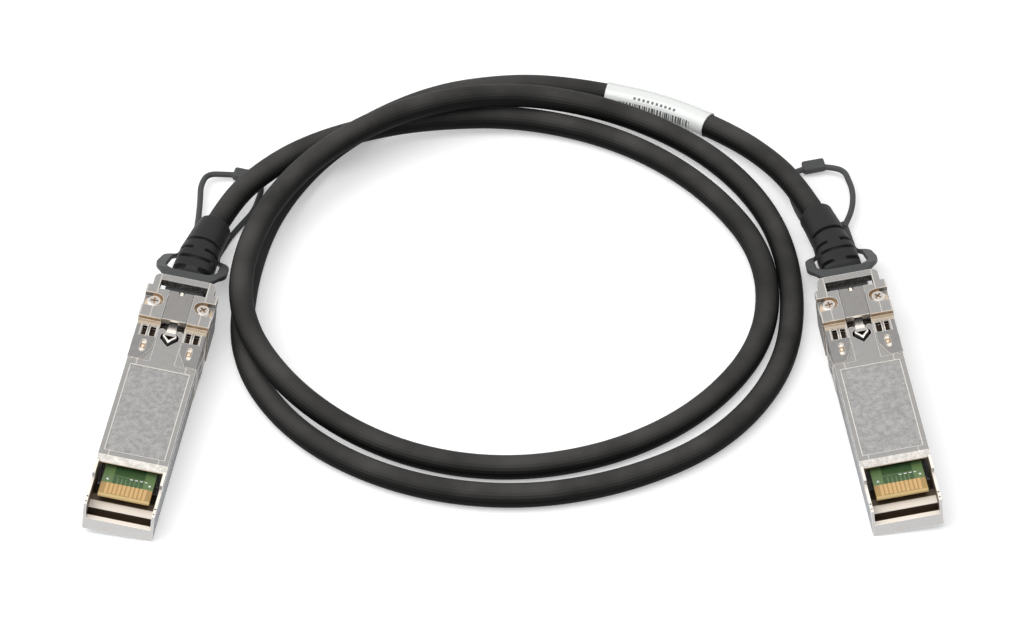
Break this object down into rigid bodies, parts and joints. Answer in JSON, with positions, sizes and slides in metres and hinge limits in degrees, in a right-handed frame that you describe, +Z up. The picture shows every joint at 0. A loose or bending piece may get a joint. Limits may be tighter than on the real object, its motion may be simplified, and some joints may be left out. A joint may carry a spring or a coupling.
{
  "type": "direct attach copper cable",
  "caption": "Direct attach copper cable: a round black cable in loose turns between metal pluggable connectors with grey pull loops.",
  "frame": {"origin": "on the table, centred under the bounding box of the two plugs", "axes": "+X from the left plug to the right one, +Y away from the host ends towards the cable, +Z up"},
  "size_m": [0.1608, 0.1259, 0.0129],
  "materials": {
    "zinc": "satin",
    "collar_steel": "satin",
    "steel": "satin",
    "nickel": "polished",
    "board": "satin",
    "gold": "polished",
    "chip": "matte",
    "ceramic": "matte",
    "insulation": "gloss",
    "potting": "matte",
    "ferrule": "satin",
    "pull_rubber": "matte",
    "boot_rubber": "matte",
    "jacket": "matte",
    "label": "gloss"
  },
  "bodies": {
    "cable_assembly": {"cable": "jacket", "wrap_label": "label", "left_base_shell": "zinc", "left_cover_shell": "zinc", "left_emi_collar": "collar_steel", "left_paddle_card": "board", "left_contact_pads": "gold", "left_memory_chip": "chip", "left_capacitors": "ceramic", "left_inner_conductors": "insulation", "left_inner_mould": "potting", "left_shield_ferrule": "ferrule", "left_cover_screws": "nickel", "left_lever_pin": "steel", "left_lever_spring": "steel", "left_cable_boot": "boot_rubber", "right_base_shell": "zinc", "right_cover_shell": "zinc", "right_emi_collar": "collar_steel", "right_paddle_card": "board", "right_contact_pads": "gold", "right_memory_chip": "chip", "right_capacitors": "ceramic", "right_inner_conductors": "insulation", "right_inner_mould": "potting", "right_shield_ferrule": "ferrule", "right_cover_screws": "nickel", "right_lever_pin": "steel", "right_lever_spring": "steel", "right_cable_boot": "boot_rubber"},
    "left_slide": {"left_latch_slider": "steel", "left_pull_loop": "pull_rubber"},
    "left_lever": {"left_latch_lever": "steel"},
    "right_slide": {"right_latch_slider": "steel", "right_pull_loop": "pull_rubber"},
    "right_lever": {"right_latch_lever": "steel"}
  },
  "joints": [
    {"name": "left_latch_slide", "type": "slide", "parent": "cable_assembly", "child": "left_slide", "axis": [0.1582, 0.9874, 0], "range_m": [0, 0.0018], "stiffness_N_per_m": 300},
    {"name": "left_latch_rock", "type": "hinge", "parent": "cable_assembly", "child": "left_lever", "pos_m": [-0.06484, -0.00063, 0.00804], "axis": [0.9801, -0.157, -0.1219], "range_deg": [0, 6], "deforming": ["left_lever_spring"]},
    {"name": "right_latch_slide", "type": "slide", "parent": "cable_assembly", "child": "right_slide", "axis": [-0.1331, 0.9911, 0], "range_m": [0, 0.0018], "stiffness_N_per_m": 300},
    {"name": "right_latch_rock", "type": "hinge", "parent": "cable_assembly", "child": "right_lever", "pos_m": [0.06645, 0.00073, 0.00804], "axis": [0.9837, 0.1321, 0.1219], "range_deg": [0, 6], "deforming": ["right_lever_spring"]}
  ],
  "couplings": [
    {"joint": "left_latch_rock", "follows": "left_latch_slide", "rad_per_m": 57},
    {"joint": "right_latch_rock", "follows": "right_latch_slide", "rad_per_m": 57}
  ]
}
